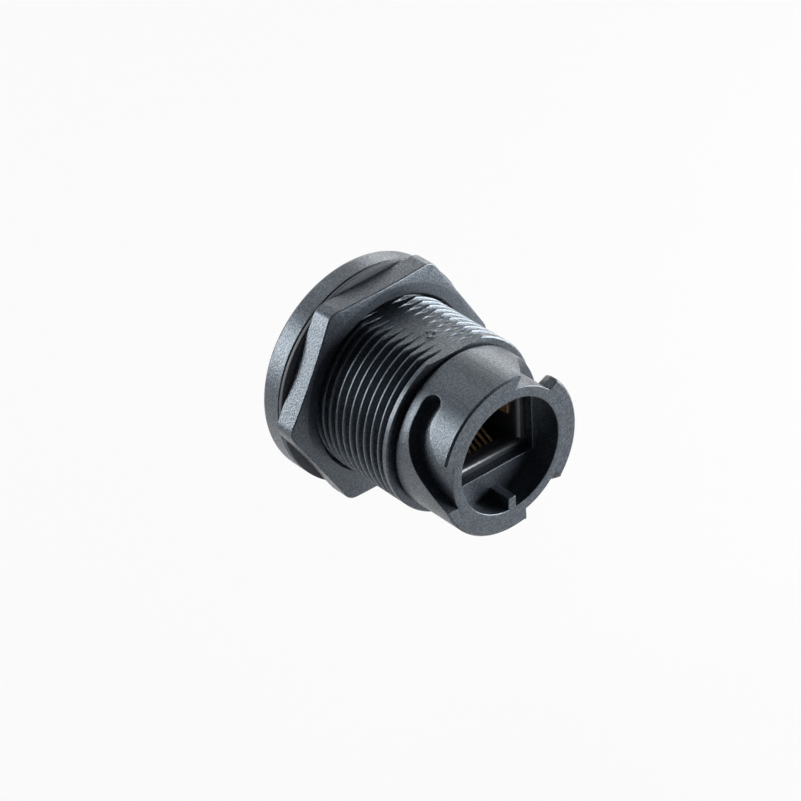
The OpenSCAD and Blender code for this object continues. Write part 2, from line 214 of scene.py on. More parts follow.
gasketLook = {
    "base": (0.062, 0.072, 0.09), "dust": (0.115, 0.13, 0.155), "dustStrength": 0.5, "dustSpan": (0.5, 0.75),
    "grainScale": 1500, "grainDetail": 4.0, "grainRough": 0.7, "rough": 0.55, "roughSwing": 0.1,
    "bump": 0.4, "bumpDepth": 0.00004, "specular": 0.6}
contactLook = {
    "deep": (0.85, 0.58, 0.24), "bright": (0.98, 0.8, 0.45), "smearScale": 900, "smearDetail": 3.0,
    "rough": 0.36, "roughSwing": 0.2}
springLook = {
    "deep": (0.5, 0.36, 0.2), "bright": (0.78, 0.62, 0.4), "smearScale": 700, "smearDetail": 3.0,
    "rough": 0.3, "roughSwing": 0.2}
boardLook = {
    "lacquer": (0.012, 0.07, 0.03), "fibre": (0.05, 0.14, 0.07), "fibreScale": 900, "fibreBend": 1.5,
    "fibreShare": 0.4, "rough": 0.35, "roughSwing": 0.1}
finishes = {
    "housing": mouldedPlastic("housingPlastic", housingLook),
    "nut": mouldedPlastic("nutPlastic", nutLook),
    "jack": mouldedPlastic("jackPlastic", jackLook),
    "carrier": mouldedPlastic("carrierPlastic", carrierLook),
    "gasket": dullRubber("gasketRubber", gasketLook),
    "contact": platedMetal("contactGold", contactLook),
    "spring": platedMetal("springMetal", springLook),
    "board": boardLaminate("boardLaminate", boardLook),
}
print("finishes made:", len(finishes))


# Mesh helpers: x right, y up and s from the flange's panel side towards the nose, all in millimetres

def spot(x, y, s):
    return Vector((x * mm, -s * mm, y * mm))


def polar(radius, angle, s):
    turn = math.radians(angle)
    return spot(radius * math.cos(turn), radius * math.sin(turn), s)


def clamp(value, low, high):
    return min(max(value, low), high)


# Points from a up to b, without b itself
def between(a, b, steps):
    return [(a[0] + (b[0] - a[0]) * k / steps, a[1] + (b[1] - a[1]) * k / steps) for k in range(steps)]


# Points on a circle from one angle up to another, without the last
def arcPoints(radius, first, last, steps):
    turns = [first + (last - first) * k / steps for k in range(steps)]
    return [(radius * math.cos(turn), radius * math.sin(turn)) for turn in turns]


# Quads between rows of points; a closed row joins its last point to its first
def weave(rows, closed=True, start=0):
    wide = len(rows[0])
    faces = []
    for r in range(len(rows) - 1):
        for c in range(wide if closed else wide - 1):
            d = (c + 1) % wide
            low = start + r * wide
            high = low + wide
            faces.append((low + c, low + d, high + d, high + c))
    return [point for row in rows for point in row], faces


# Rounds the corners of an open path of (a, b, radius) points
def roundPath(path, steps=5):
    mostReach = 0.49  # share of a side that one corner may take
    out = []
    for i, (a, b, radius) in enumerate(path):
        here = Vector((a, b))
        if radius <= 0 or i in (0, len(path) - 1):
            out.append((a, b))
            continue
        back = Vector(path[i - 1][:2]) - here
        ahead = Vector(path[i + 1][:2]) - here
        backLong, aheadLong = back.length, ahead.length
        back.normalize()
        ahead.normalize()
        half = back.angle(ahead) / 2
        reach = min(radius / math.tan(half), backLong * mostReach, aheadLong * mostReach)
        bend = reach * math.tan(half)
        middle = here + (back + ahead).normalized() * (bend / math.sin(half))
        first = here + back * reach - middle
        last = here + ahead * reach - middle
        sweep = first.angle_signed(last)
        for k in range(steps + 1):
            arm = first.copy()
            arm.rotate(Matrix.Rotation(-sweep * k / steps, 2))
            out.append(tuple(middle + arm))
    return out


def makePiece(name, points, faces, finish, body, sharp=38):
    mesh = bpy.data.meshes.new(name)
    mesh.from_pydata(points, [], faces)
    mesh.validate()
    mesh.update()
    piece = bpy.data.objects.new(name, mesh)
    scene.collection.objects.link(piece)
    piece.data.materials.append(finishes[finish])
    shadeSmooth(mesh, sharp)
    even = piece.modifiers.new("evenNormals", "WEIGHTED_NORMAL")
    even.keep_sharp = True
    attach(piece, body)
    return piece


# Smooth faces, with every edge sharper than the angle kept crisp
def shadeSmooth(mesh, sharp):
    mesh.polygons.foreach_set("use_smooth", [True] * len(mesh.polygons))
    sides = {}
    for face in mesh.polygons:
        for key in face.edge_keys:
            sides.setdefault(key, []).append(face.normal)
    limit = math.cos(math.radians(sharp))
    for edge in mesh.edges:
        pair = sides.get(edge.key, [])
        edge.use_edge_sharp = len(pair) == 2 and pair[0].dot(pair[1]) < limit


# Joins points that lie on each other, turns every face outwards and shades the piece again
def weldPiece(piece, sharp):
    reach = 0.004 * mm
    work = bmesh.new()
    work.from_mesh(piece.data)
    bmesh.ops.remove_doubles(work, verts=work.verts, dist=reach)
    bmesh.ops.recalc_face_normals(work, faces=work.faces)
    work.to_mesh(piece.data)
    work.free()
    piece.data.update()
    shadeSmooth(piece.data, sharp)


# A turned piece: a path of (radius, s) points spun round the axis
def turned(name, path, finish, body, sharp=38, columns=256):
    rows = [[polar(r, 360 * c / columns, s) for c in range(columns)] for r, s in path]
    points, faces = weave(rows)
    return makePiece(name, points, faces, finish, body, sharp)


# Flange: rounded outer edge, plain rim and the shallow seat for the retainer
flange = {"radius": 17.1, "thick": 3.7, "round": 0.8, "edge": 0.24, "roundSteps": 8,
          "seatRadius": 12.9, "seatDepth": 1.45, "seatEdge": 0.05, "rimEdge": 0.12,
          "boreRadius": 8.85, "boreEnd": 20.0, "neck": 12.3}


def makeFlange():
    d = flange
    seat = d["seatDepth"] - d["thick"]
    path = roundPath([
        (d["boreRadius"], d["boreEnd"], 0),
        (d["boreRadius"], seat, d["seatEdge"]),
        (d["seatRadius"], seat, d["seatEdge"]),
        (d["seatRadius"], -d["thick"], d["rimEdge"]),
        (d["radius"], -d["thick"], d["round"]),
        (d["radius"], 0.0, d["edge"]),
        (d["neck"], 0.0, 0),
    ], d["roundSteps"])
    return turned("flangeBody", path, "housing", "coupler")


# Barrel: right-hand thread with two flats, collar and the groove behind the nose
barrel = {"crest": 13.35, "root": 12.43, "pitch": 1.5, "crestAt": 11.04, "crestAngle": 179.0, "flat": 12.38,
          "start": 0.0, "fadeFrom": 0.6, "fadeLong": 0.8, "stop": 17.8, "runOut": 0.5,
          "front": 18.95, "chamfer": 0.2, "frontEdge": 0.12,
          "grooveFloor": 11.4, "grooveWide": 0.6, "grooveEdge": 0.06, "overlap": 0.5,
          "columns": 240, "turnsBelow": 8, "turnsAbove": 8, "sharp": 40}

# One flank of the thread, from the crest's edge to the root: share of the pitch and share of the depth
threadFlank = [(0.08, 1.0), (0.11, 0.975), (0.145, 0.89), (0.18, 0.72), (0.22, 0.5), (0.27, 0.25),
               (0.32, 0.07), (0.37, 0.0)]
threadSection = [(-0.5, 0.0)] + [(-share, height) for share, height in reversed(threadFlank)] + threadFlank


def threadHeight(share):
    share = (share + 0.5) % 1.0 - 0.5
    closing = threadSection + [(0.5, 0.0)]
    for (a, low), (b, high) in zip(closing, closing[1:]):
        if a <= share <= b:
            return low + (high - low) * (share - a) / (b - a)
    return 0.0


# Radius of the thread: it fades in over the flange, and the collar swallows its end
def barrelRadius(s, height):
    d = barrel
    fade = clamp((s - d["fadeFrom"]) / d["fadeLong"], 0.0, 1.0)
    swallow = clamp((s - d["stop"]) / d["runOut"] + 0.5, 0.0, 1.0)
    collar = swallow * swallow * (3 - 2 * swallow)
    return d["root"] + (d["crest"] - d["root"]) * max(height * fade, collar)


# Cuts the two flats into the barrel, closes them and keeps their edges crisp
def cutFlats(piece, flat, sharp):
    reach = 0.001 * mm
    thinnest = 0.0005 * mm
    work = bmesh.new()
    work.from_mesh(piece.data)
    bmesh.ops.remove_doubles(work, verts=work.verts, dist=reach)
    bmesh.ops.dissolve_degenerate(work, edges=work.edges, dist=thinnest)
    rims = set()
    for side in (1, -1):
        whole = work.verts[:] + work.edges[:] + work.faces[:]
        made = bmesh.ops.bisect_plane(work, geom=whole, dist=thinnest, plane_co=(0, 0, side * flat * mm),
                                      plane_no=(0, 0, side), clear_outer=True)
        rim = [part for part in made["geom_cut"] if isinstance(part, bmesh.types.BMEdge)]
        bmesh.ops.triangle_fill(work, use_beauty=True, use_dissolve=False, edges=rim, normal=(0, 0, side))
        rims.update(rim)
    bmesh.ops.recalc_face_normals(work, faces=work.faces)
    for face in work.faces:
        face.smooth = True
    for edge in work.edges:
        edge.smooth = edge not in rims and edge.calc_face_angle(0.0) < math.radians(sharp)
    work.to_mesh(piece.data)
    work.free()
    piece.data.update()


def makeBarrel():
    d = barrel
    wide = d["columns"]
    angles = [360 * c / wide for c in range(wide)]
    count = len(threadSection)
    last = d["front"] - d["chamfer"]

    def lead(angle):
        return d["crestAt"] + d["pitch"] * ((angle - d["crestAngle"]) / 360)

    rows = [[polar(d["grooveFloor"], angle, d["start"]) for angle in angles]]
    for k in range(-d["turnsBelow"] * count, d["turnsAbove"] * count):
        share, height = threadSection[k % count]
        row = []
        for angle in angles:
            s = lead(angle) + (k // count + share) * d["pitch"]
            kept = clamp(s, d["start"], last)
            tall = height if kept == s else threadHeight((kept - lead(angle)) / d["pitch"])
            row.append(polar(barrelRadius(kept, tall), angle, kept))
        rows.append(row)
    lastTurn = len(rows) - 1
    end = roundPath([
        (d["crest"], last, 0),
        (d["crest"] - d["chamfer"], d["front"], d["frontEdge"]),
        (d["grooveFloor"], d["front"], d["grooveEdge"]),
        (d["grooveFloor"], d["front"] + d["grooveWide"] + d["overlap"], 0),
    ])
    rows += [[polar(r, angle, s) for angle in angles] for r, s in end]

    # Past the seam a row of the thread goes on one turn higher
    def seamRow(r):
        return min(r + count, lastTurn) if 0 < r <= lastTurn else r

    faces = []
    for r in range(len(rows) - 1):
        for c in range(wide):
            across = (c + 1) % wide
            low, high = (r, r + 1) if across else (seamRow(r), seamRow(r + 1))
            corners = (r * wide + c, low * wide + across, high * wide + across, (r + 1) * wide + c)
            faces.append(tuple(dict.fromkeys(corners)))
    points = [point for row in rows for point in row]
    piece = makePiece("threadedBarrel", points, faces, "housing", "coupler", d["sharp"])
    cutFlats(piece, d["flat"], d["sharp"])
    return piece


# Nose: three notches in its front, each leading into a curved track that ends in a round
nose = {"radius": 12.25, "floor": 10.5, "bore": 8.85, "front": 29.36, "rear": 19.55, "chamfer": 0.3,
        "edge": 0.1, "corner": 0.12, "seam": 101.0,
        "notches": (60.0, -60.0, -180.0), "notchSpacing": 120.0, "notchHalf": 18.0, "notchStep": 0.1,
        "notchLean": 4.0, "leanStop": 45.0, "earThick": 1.4,
        "trackDepth": 8.1, "trackWide": 3.0, "trackTurn": 48.5, "ramp": 51.0, "rearBlend": 9.5,
        "frontBlend": 4.6,
        "rearEdge": 0.12, "rearRound": 0.1, "rearFoot": 11.2, "wallSunk": 0.3, "wallLift": 0.002,
        "coreBack": 0.4, "ringEdge": 0.12, "mouthEdge": 0.16}
noseArc = math.radians(nose["radius"])  # millimetres round the nose for each degree

# How finely the nose's skin is divided
skin = {"outlineStep": 0.5, "outlineLeast": 0.004, "frontDepth": 0.15, "columns": 128, "rows": 16,
        "gap": 0.22, "seamGap": 0.2, "rearColumns": 160, "edgeSteps": 5, "cornerSteps": 4, "rampSteps": 8,
        "blendSteps": 14, "endSteps": 12, "sharp": 38}
nearest = 1e-6  # below this distance the triangulation takes two points as one
insideOnly, allOver = 1, 0  # how much of a triangulation is kept


# Points down a ramp that bends into a level run: distance along, depth
def rampPoints(start, finish, blend):
    tilt = math.radians(nose["ramp"])
    turnIn = finish - blend * (1 - math.cos(tilt))
    along = (turnIn - start) / math.tan(tilt)
    points = between((0.0, start), (along, turnIn), skin["rampSteps"]) + [(along, turnIn)]
    for k in range(1, skin["blendSteps"] + 1):
        left = tilt * (1 - k / skin["blendSteps"])
        onward = along + blend * (math.sin(tilt) - math.sin(left))
        points.append((onward, finish - blend * (1 - math.cos(left))))
    return points


# One notch and track, flattened: distance round the nose from the notch's middle, depth from the front
def trackOutline():
    d = nose
    half = d["notchHalf"] * noseArc
    endAt = -d["trackTurn"] * noseArc
    endRadius = d["trackWide"] / 2
    middle = d["trackDepth"] - endRadius
    out = [(half, 0.0, d["corner"]), (half, d["notchStep"], 0)]
    run = rampPoints(d["notchStep"], d["trackDepth"], d["rearBlend"])
    out += [(half - along, deep, 0) for along, deep in run[1:]]
    for k in range(skin["endSteps"] + 1):
        turn = math.radians(90 - 180 * k / skin["endSteps"])
        out.append((endAt - endRadius * math.cos(turn), middle + endRadius * math.sin(turn), 0))
    run = rampPoints(d["earThick"], d["trackDepth"] - d["trackWide"], d["frontBlend"])
    out += [(-half - along, deep, 0) for along, deep in reversed(run[1:])]
    out += [(-half, d["earThick"], d["corner"]), (-half, 0.0, d["corner"])]
    return out


# The whole front outline of the sleeve, clockwise from the seam
def sleeveOutline():
    d = nose
    path = [(d["seam"] * noseArc, 0.0, 0)]
    for centre in d["notches"]:
        path += [(u + centre * noseArc, deep, r) for u, deep, r in trackOutline()]
    path.append(((d["seam"] - 360) * noseArc, 0.0, 0))
    corners = roundPath(path, skin["cornerSteps"])
    fine = []
    for a, b in zip(corners, corners[1:]):
        fine += between(a, b, max(1, int(math.dist(a, b) / skin["outlineStep"])))
    fine.append(corners[-1])
    return [p for i, p in enumerate(fine) if i == 0 or math.dist(p, fine[i - 1]) > skin["outlineLeast"]]


# Moves each point of the outline into the material, along the mean of its two edges' normals
def insetOutline(outline, amounts):
    leastLean, mostStretch = 0.5, 1.6  # these keep a sharp corner from running away
    out = []
    for i, (here, amount) in enumerate(zip(outline, amounts)):
        before = outline[max(i - 1, 0)]
        after = outline[min(i + 1, len(outline) - 1)]
        edges = []
        for a, b in ((before, here), (here, after)):
            long = math.dist(a, b)
            if long > 0:
                edges.append(Vector((-(b[1] - a[1]) / long, (b[0] - a[0]) / long)))
        normal = sum(edges, Vector((0, 0))).normalized()
        stretch = min(1 / max(normal.dot(edges[0]), leastLean), mostStretch)
        out.append((here[0] - normal.x * amount * stretch, here[1] - normal.y * amount * stretch))
    return out


# Share of a point's edge that is the flat chamfer of the front: 1 on the front, 0 down in a track
def frontShare(deep):
    return clamp(1 - deep / skin["frontDepth"], 0.0, 1.0)


# Turn of the walls at a radius, in degrees: fully at a notch, not at all at its track's round end
def leanAt(u, radius):
    d = nose
    local = u / noseArc % d["notchSpacing"] - d["notchSpacing"] / 2
    rising = clamp((local + d["trackTurn"]) / (d["notchHalf"] + d["trackTurn"]), 0.0, 1.0)
    falling = clamp((d["leanStop"] - local) / (d["leanStop"] - d["notchHalf"]), 0.0, 1.0)
    return d["notchLean"] * min(rising, falling) * (d["radius"] - radius) / (d["radius"] - d["floor"])


# A point of the notches' walls: distance round the nose, depth and radius
def wallSpot(u, deep, radius):
    return polar(radius, u / noseArc + leanAt(u, radius), nose["front"] + nose["wallLift"] - deep)


def insideOutline(outline, u, deep):
    inside = False
    for (au, ad), (bu, bd) in zip(outline, outline[1:] + outline[:1]):
        if (ad > deep) != (bd > deep) and u < (bu - au) * (deep - ad) / (bd - ad) + au:
            inside = not inside
    return inside


# Staggered points inside the border of the skin, clear of its edge
def skinGrid(border, left, right, tall):
    grid = []
    for i in range(1, skin["columns"]):
        for j in range(1, skin["rows"]):
            u = left + (right - left) * (i + 0.5 * (j % 2)) / skin["columns"]
            deep = tall * j / skin["rows"]
            if u < right - skin["seamGap"] and insideOutline(border, u, deep):
                if min(math.dist((u, deep), p) for p in border) > skin["gap"]:
                    grid.append((u, deep))
    return grid


def makeSleeve():
    d = nose
    outline = sleeveOutline()
    shares = [frontShare(p[1]) for p in outline]
    amounts = [d["edge"] + (d["chamfer"] - d["edge"]) * share for share in shares]
    inner = insetOutline(outline, amounts)
    inner[0] = (outline[0][0], d["chamfer"])
    inner[-1] = (outline[-1][0], d["chamfer"])

    # The skin, flattened: the inset outline, down the seam, along the rear and up the seam again
    tall = d["front"] - d["rear"] - d["rearEdge"]
    left, right = inner[-1][0], inner[0][0]
    seam = [deep for _, deep in between((0, d["chamfer"]), (0, tall), skin["rows"])][1:]
    bottom = between((left, tall), (right, tall), skin["rearColumns"]) + [(right, tall)]
    border = inner + [(left, deep) for deep in seam] + bottom + [(right, deep) for deep in reversed(seam)]
    flat = [Vector(p) for p in border + skinGrid(border, left, right, tall)]
    corners, _, triangles, *_ = delaunay_2d_cdt(flat, [], [list(range(len(border)))], insideOnly, nearest)
    points = [polar(d["radius"], p.x / noseArc, d["front"] - p.y) for p in corners]
    faces = [tuple(triangle) for triangle in triangles]

    # Edge along the outline, chamfered in front and rounded in the tracks, then the walls down into the core
    rows = []
    for k in range(skin["edgeSteps"] + 1):
        part = k / skin["edgeSteps"]
        turn = math.radians(90 * part)
        row = []
        for a, b, share, amount in zip(inner, outline, shares, amounts):
            step = share * part + (1 - share) * math.sin(turn)
            radius = d["radius"] - amount * (share * part + (1 - share) * (1 - math.cos(turn)))
            row.append(wallSpot(a[0] + (b[0] - a[0]) * step, a[1] + (b[1] - a[1]) * step, radius))
        rows.append(row)
    rows.append([wallSpot(u, deep, d["floor"] - d["wallSunk"]) for u, deep in outline])
    morePoints, moreFaces = weave(rows, False, len(points))
    points += morePoints
    faces += moreFaces

    # Rear edge of the sleeve, down to the groove
    tail = roundPath([(d["radius"], d["front"] - tall, 0), (d["radius"], d["rear"], d["rearRound"]),
                      (d["rearFoot"], d["rear"], 0)])
    rows = [[polar(r, u / noseArc, s) for u, _ in bottom] for r, s in tail]
    morePoints, moreFaces = weave(rows, False, len(points))
    points += morePoints
    faces += moreFaces
    piece = makePiece("noseSleeve", points, faces, "housing", "coupler", skin["sharp"])
    weldPiece(piece, skin["sharp"])
    return piece


# Mouth: the web across the bore, with a window for the front jack
mouth = {"depth": 3.8, "webThick": 1.5, "webOverlap": 0.1, "windowHalf": 7.4, "windowLow": -4.2,
         "windowHigh": 6.9, "windowGap": 0.02, "edge": 0.12, "edgeSteps": 4, "ringSteps": 180,
         "sideSteps": 12, "arcSteps": 8, "sharp": 50}
webFront = nose["front"] - mouth["depth"]
webBack = webFront - mouth["webThick"]


# Core of the nose: the tracks' floor, the front ring and the mouth down past the web
def makeNoseCore():
    d = nose
    path = roundPath([
        (d["floor"], d["rear"] - d["coreBack"], 0),
        (d["floor"], d["front"], d["ringEdge"]),
        (d["bore"], d["front"], d["mouthEdge"]),
        (d["bore"], webBack, 0),
    ])
    return turned("noseCore", path, "housing", "coupler", mouth["sharp"])


# The window's outline: straight sides inside the bore's circle, anticlockwise
def windowOutline(grow):
    d = mouth
    half, low, high = d["windowHalf"] + grow, d["windowLow"] - grow, d["windowHigh"] + grow
    limit = nose["bore"] - d["windowGap"]
    sideTop = math.sqrt(limit ** 2 - half ** 2)
    topSide = math.sqrt(limit ** 2 - high ** 2)
    first, last = math.atan2(sideTop, half), math.atan2(high, topSide)
    points = between((-half, low), (half, low), d["sideSteps"])
    points += between((half, low), (half, sideTop), d["sideSteps"])
    points += arcPoints(limit, first, last, d["arcSteps"])
    points += between((topSide, high), (-topSide, high), d["sideSteps"])
    points += arcPoints(limit, math.pi - last, math.pi - first, d["arcSteps"])
    points += between((-half, sideTop), (-half, low), d["sideSteps"])
    return points


# Web with the window's front edges rounded
def makeWeb():
    d = mouth
    ring = arcPoints(nose["bore"] + d["webOverlap"], 0.0, math.tau, d["ringSteps"])
    window = windowOutline(d["edge"])
    count = len(ring)
    loops = [[k, (k + 1) % count] for k in range(count)]
    loops += [[count + k, count + (k + 1) % len(window)] for k in range(len(window))]
    flat = [Vector(p) for p in ring + window]
    corners, _, triangles, *_ = delaunay_2d_cdt(flat, loops, [], allOver, nearest)
    keep = []
    for triangle in triangles:
        middle = sum((corners[i] for i in triangle), Vector((0, 0))) / 3
        if not insideOutline(window, middle.x, middle.y):
            keep.append(tuple(triangle))
    points = [spot(p.x, p.y, webFront) for p in corners] + [spot(p.x, p.y, webBack) for p in corners]
    faces = keep + [tuple(len(corners) + i for i in reversed(triangle)) for triangle in keep]
    rows = []
    for k in range(d["edgeSteps"] + 1):
        turn = math.radians(90 * k / d["edgeSteps"])
        s = webFront - d["edge"] * (1 - math.cos(turn))
        rows.append([spot(x, y, s) for x, y in windowOutline(d["edge"] * (1 - math.sin(turn)))])
    rows.append([spot(x, y, webBack) for x, y in windowOutline(0.0)])
    morePoints, moreFaces = weave(rows, True, len(points))
    piece = makePiece("noseWeb", points + morePoints, faces + moreFaces, "housing", "coupler", d["sharp"])
    weldPiece(piece, d["sharp"])
    return piece


# Key at the bottom of the mouth: a block with all its edges rounded
key = {"half": 0.7, "top": -7.0, "foot": -9.6, "sunk": 0.3, "short": 0.005, "edge": 0.14, "edgeSteps": 3,
       "sharp": 60}


def makeKey():
    d = key
    low = (-d["half"], d["foot"], webFront - d["sunk"])
    high = (d["half"], d["top"], nose["front"] - d["short"])
    work = bmesh.new()
    bmesh.ops.create_cube(work, size=1.0)
    for vertex in work.verts:
        vertex.co = spot(*[low[i] + (high[i] - low[i]) * (vertex.co[i] + 0.5) for i in range(3)])
    bmesh.ops.bevel(work, geom=work.edges[:], offset=d["edge"] * mm, segments=d["edgeSteps"], profile=0.5,
                    affect="EDGES")
    bmesh.ops.recalc_face_normals(work, faces=work.faces)
    points = [v.co.copy() for v in work.verts]
    faces = [tuple(v.index for v in f.verts) for f in work.faces]
    work.free()
    return makePiece("noseKey", points, faces, "housing", "coupler", d["sharp"])


# Fine raised line that the mould left over the flats, the groove, the nose and the front ring
parting = {"half": 0.08, "top": 0.03, "high": 0.035, "sunk": 0.02, "flatFrom": 1.6, "stopShort": 0.1,
           "sharp": 20}


def makePartingLine():
    d = parting
    section = [(-d["half"], -d["sunk"]), (-d["top"], d["high"]),
               (d["top"], d["high"]), (d["half"], -d["sunk"])]
    lower = [(barrel["flat"], d["flatFrom"]), (barrel["flat"], barrel["front"]),
             (barrel["grooveFloor"], barrel["front"]), (barrel["grooveFloor"], nose["rear"]),
             (nose["radius"], nose["rear"])]
    upper = lower + [(nose["radius"], nose["front"] - nose["chamfer"]),
                     (nose["radius"] - nose["chamfer"], nose["front"]),
                     (nose["bore"] + d["stopShort"], nose["front"])]
    points, faces = [], []
    for side, path in ((1, upper), (-1, lower)):
        rows = []
        for i, (y, s) in enumerate(path):
            normals = []
            for (ay, az), (by, bz) in zip(path[max(i - 1, 0):i + 1], path[max(i, 1):i + 2]):
                normals.append(Vector((bz - az, ay - by)).normalized())
            out = sum(normals, Vector((0, 0))).normalized()
            rows.append([spot(x, side * (y + out.x * high), s + out.y * high) for x, high in section])
        morePoints, moreFaces = weave(rows, False, len(points))
        points += morePoints
        faces += moreFaces
    return makePiece("partingLine", points, faces, "housing", "coupler", d["sharp"])


# Rough mark of the mould's gate on the upper flat
gate = {"x": 0.0, "s": 13.35, "radius": 1.5, "high": 0.06, "sunk": 0.01, "falloff": 4,
        "rings": 24, "columns": 48, "sharp": 80,
        "lobes": [(0.12, 3, 1.0), (0.07, 7, 0.0)],  # waves of the outline: size, count and shift
        "bumps": [  # bumps and pits: x, s, radius and height
            (-0.7, 0.35, 0.3, 0.14), (0.75, 0.1, 0.28, 0.16), (0.1, -0.75, 0.26, 0.12),
            (-0.2, 0.85, 0.3, 0.12), (0.2, 0.5, 0.16, -0.22), (-0.15, -0.35, 0.15, -0.22),
            (-0.85, -0.3, 0.14, -0.18), (0.6, -0.55, 0.16, 0.12), (-0.45, 0.0, 0.14, -0.14),
            (0.95, 0.45, 0.13, -0.16)]}


def makeGateMark():
    d = gate
    rows = []
    for ring in range(d["rings"] + 1):
        share = ring / d["rings"]
        fall = 1 - share ** d["falloff"]
        row = []
        for c in range(d["columns"]):
            turn = math.tau * c / d["columns"]
            ragged = 1 + sum(size * math.sin(count * turn + shift) for size, count, shift in d["lobes"])
            reach = d["radius"] * share * ragged
            x, s = reach * math.cos(turn), reach * math.sin(turn)
            high = d["high"] * fall - d["sunk"]
            for bx, bs, radius, rise in d["bumps"]:
                high += rise * fall * math.exp(-((x - bx) ** 2 + (s - bs) ** 2) / radius ** 2)
            row.append(spot(d["x"] + x, barrel["flat"] + high, d["s"] + s))
        rows.append(row)
    points, faces = weave(rows)
    return makePiece("gateMark", points, faces, "housing", "coupler", d["sharp"])


housingPieces = [makeFlange(), makeBarrel(), makeSleeve(), makeNoseCore(), makeWeb(), makeKey(),
                 makePartingLine(), makeGateMark()]
for housingPiece in housingPieces:
    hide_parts("housing")
print("housing made:", len(housingPieces), "pieces")


# Gasket with softened edges
gasket = {"radius": 17.1, "bore": 13.6, "back": 0.05, "front": 0.7, "backRound": 0.2, "frontRound": 0.12,
          "boreRound": 0.1, "roundSteps": 6}


def makeGasket():
    d = gasket
    middle = (d["back"] + d["front"]) / 2
    path = roundPath([
        (d["bore"], middle, 0),
        (d["bore"], d["back"], d["boreRound"]),
        (d["radius"], d["back"], d["backRound"]),
        (d["radius"], d["front"], d["frontRound"]),
        (d["bore"], d["front"], d["boreRound"]),
        (d["bore"], middle, 0),
    ], d["roundSteps"])
    return turned("gasketRing", path, "gasket", "coupler")


gasketRing = makeGasket()
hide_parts("panel_gasket")
print("gasket made")


# Nut: six flats with round corners, a sloping front and a chamfered bore
nut = {"flat": 16.0, "corner": 2.2, "turn": 32.0, "back": 0.8, "front": 4.5, "faceRadius": 15.4, "slope": 8.0,
       "faceBlend": 0.25, "faceRound": 0.3, "bore": 13.45, "lead": 0.35, "boreRound": 0.1, "edge": 0.2,
       "edgeSteps": 5, "ringSteps": 4, "columns": 480, "sharp": 50}


# Radius of the nut's outline, moved in by an inset, in a direction
def nutRadius(angle, inset):
    d = nut
    flat = d["flat"] - inset
    corner = d["corner"] - inset
    halfSide = math.radians(30)
    off = math.radians((angle - d["turn"] + 30) % 60 - 30)
    centre = (flat - corner) / math.cos(halfSide)
    side = halfSide - abs(off)
    straight = flat / math.cos(off)
    if straight * math.sin(abs(off)) <= centre * math.sin(halfSide):
        return straight
    return centre * math.cos(side) + math.sqrt(max(corner ** 2 - (centre * math.sin(side)) ** 2, 0))


def makeNut():
    d = nut
    angles = [360 * k / d["columns"] for k in range(d["columns"])]
    turns = [math.radians(90 * k / d["edgeSteps"]) for k in range(d["edgeSteps"] + 1)]
    slope = math.tan(math.radians(d["slope"]))

    def frontAt(radius):
        return d["front"] - max(radius - d["faceRadius"], 0) * slope

    def ringRow(radius, s):
        return [polar(radius, angle, s) for angle in angles]

    rows = [ringRow(d["bore"], d["back"] + d["lead"]), ringRow(d["bore"] + d["lead"], d["back"])]
    for turn in turns:
        inset = d["edge"] * (1 - math.sin(turn))
        s = d["back"] + d["edge"] * (1 - math.cos(turn))
        rows.append([polar(nutRadius(angle, inset), angle, s) for angle in angles])
    for turn in turns:
        row = []
        for angle in angles:
            radius = nutRadius(angle, d["edge"] * (1 - math.cos(turn)))
            row.append(polar(radius, angle, frontAt(radius) - d["edge"] * (1 - math.sin(turn))))
        rows.append(row)
    outer = d["faceRadius"] + d["faceBlend"]
    face = roundPath([
        (outer, frontAt(outer), 0),
        (d["faceRadius"], d["front"], d["faceRound"]),
        (d["bore"] + d["lead"], d["front"], d["boreRound"]),
        (d["bore"], d["front"] - d["lead"], d["boreRound"]),
        (d["bore"], d["back"] + d["lead"], 0),
    ], d["ringSteps"])
    rows += [ringRow(r, s) for r, s in face]
    points, faces = weave(rows)
    return makePiece("nutBody", points, faces, "nut", "nut", d["sharp"])


nutBody = makeNut()
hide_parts("hex_nut")
print("nut made")


# Solids that keep their own shape, with their finish
keptSolids = {"retainer_plate": "housing", "circuit_board": "board"}
for end in ("front", "rear"):
    keptSolids[f"{end}_jack"] = "jack"
    keptSolids[f"{end}_contact_carrier"] = "carrier"
    for number in range(1, 9):
        keptSolids[f"{end}_contact_{number}"] = "contact"
    for side in ("left", "right"):
        keptSolids[f"{end}_ground_spring_{side}"] = "spring"

# Their rounded edges, by finish: millimetres and steps; the board stays sharp
softEdges = {"jack": (0.06, 2), "housing": (0.12, 2), "carrier": (0.04, 2), "contact": (0.14, 4),
             "spring": (0.03, 2)}
softening = {"joinReach": 0.001, "flatAngle": 0.5, "sharpAngle": 40}  # millimetres and degrees


# The loaded solids are split along their edges, so their points are joined before the bevel
def softenSolid(solid, width, steps):
    d = softening
    join = solid.modifiers.new("joinedPoints", "WELD")
    join.merge_threshold = d["joinReach"] * mm
    clean = solid.modifiers.new("flatFaces", "DECIMATE")
    clean.decimate_type = "DISSOLVE"
    clean.angle_limit = math.radians(d["flatAngle"])
    soften = solid.modifiers.new("softEdges", "BEVEL")
    soften.width = width * mm
    soften.segments = steps
    soften.limit_method = "ANGLE"
    soften.angle_limit = math.radians(d["sharpAngle"])
    soften.harden_normals = True


for name, finish in keptSolids.items():
    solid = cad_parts[name]
    solid.data.materials.clear()
    solid.data.materials.append(finishes[finish])
    if finish in softEdges:
        softenSolid(solid, *softEdges[finish])
print("solids finished:", len(keptSolids))


